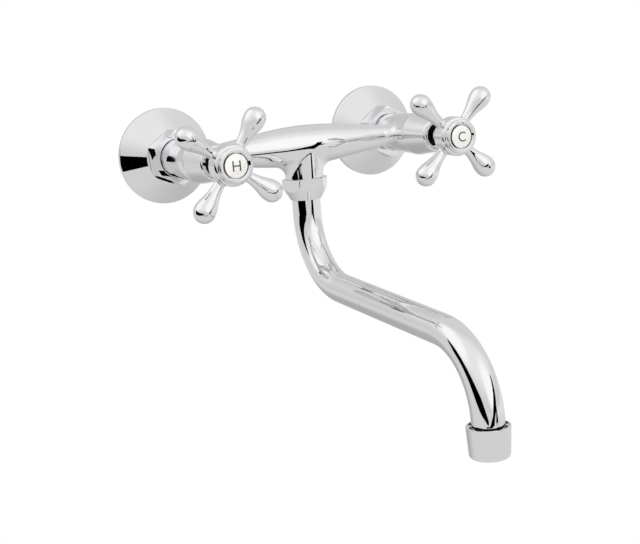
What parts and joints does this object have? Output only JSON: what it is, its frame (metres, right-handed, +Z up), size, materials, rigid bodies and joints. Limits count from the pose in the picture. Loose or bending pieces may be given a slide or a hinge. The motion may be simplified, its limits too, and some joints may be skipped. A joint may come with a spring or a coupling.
{
  "type": "wall-mounted mixer tap",
  "caption": "Wall-mounted two-handle mixer tap with cross handles, a swelling bridge body and a low swivelling S-bend spout, in polished chrome.",
  "frame": {"origin": "on the finished wall, midway between the two inlets, at the height of the valve axes", "axes": "+Z up, +Y into the wall, so the tap stands out along -Y; +X to the right for a person facing it, hot on the left"},
  "size_m": [0.2112, 0.2663, 0.1861],
  "materials": {
    "chrome": "mirror polished chrome plate on brass",
    "connector_brass": "plain plated brass",
    "turned_brass": "turned brass",
    "disc_ceramic": "lapped alumina",
    "index_porcelain": "glossy ivory glaze",
    "seal_rubber": "moulded black rubber",
    "white_plastic": "moulded acetal",
    "steel": "stainless steel"
  },
  "bodies": {
    "fixed": {"hot_wall_connector": "connector_brass", "hot_wall_flange": "chrome", "hot_union_nut": "chrome", "hot_union_washer": "seal_rubber", "hot_inlet_nipple": "turned_brass", "hot_seat_seal": "seal_rubber", "hot_fixed_disc": "disc_ceramic", "hot_headwork": "turned_brass", "hot_headwork_washer": "seal_rubber", "hot_bonnet": "chrome", "cold_wall_connector": "connector_brass", "cold_wall_flange": "chrome", "cold_union_nut": "chrome", "cold_union_washer": "seal_rubber", "cold_inlet_nipple": "turned_brass", "cold_seat_seal": "seal_rubber", "cold_fixed_disc": "disc_ceramic", "cold_headwork": "turned_brass", "cold_headwork_washer": "seal_rubber", "cold_bonnet": "chrome", "body_casting": "chrome", "spout_nut": "chrome"},
    "hot_valve": {"hot_turning_disc": "disc_ceramic", "hot_spindle": "turned_brass", "hot_spindle_o_ring": "seal_rubber", "hot_circlip": "steel", "hot_cross_handle": "chrome", "hot_handle_screw": "steel", "hot_index_ring": "chrome", "hot_index_disc": "index_porcelain"},
    "cold_valve": {"cold_turning_disc": "disc_ceramic", "cold_spindle": "turned_brass", "cold_spindle_o_ring": "seal_rubber", "cold_circlip": "steel", "cold_cross_handle": "chrome", "cold_handle_screw": "steel", "cold_index_ring": "chrome", "cold_index_disc": "index_porcelain"},
    "spout": {"spout_tail": "turned_brass", "spout_o_rings": "seal_rubber", "spout_retaining_ring": "white_plastic", "spout_tube": "chrome", "outlet_collar": "turned_brass", "outlet_housing": "chrome", "outlet_washer": "seal_rubber", "flow_straightener": "white_plastic"}
  },
  "joints": [
    {"name": "hot_turn", "type": "hinge", "parent": "fixed", "child": "hot_valve", "pos_m": [-0.075, -0.10365, 0], "axis": [0, -1, 0], "range_deg": [0, 90]},
    {"name": "cold_turn", "type": "hinge", "parent": "fixed", "child": "cold_valve", "pos_m": [0.075, -0.10365, 0], "axis": [0, 1, 0], "range_deg": [0, 90]},
    {"name": "spout_swivel", "type": "hinge", "parent": "fixed", "child": "spout", "pos_m": [0, -0.0453, -0.031], "axis": [0, 0, 1], "range_deg": [-98, 98]}
  ]
}
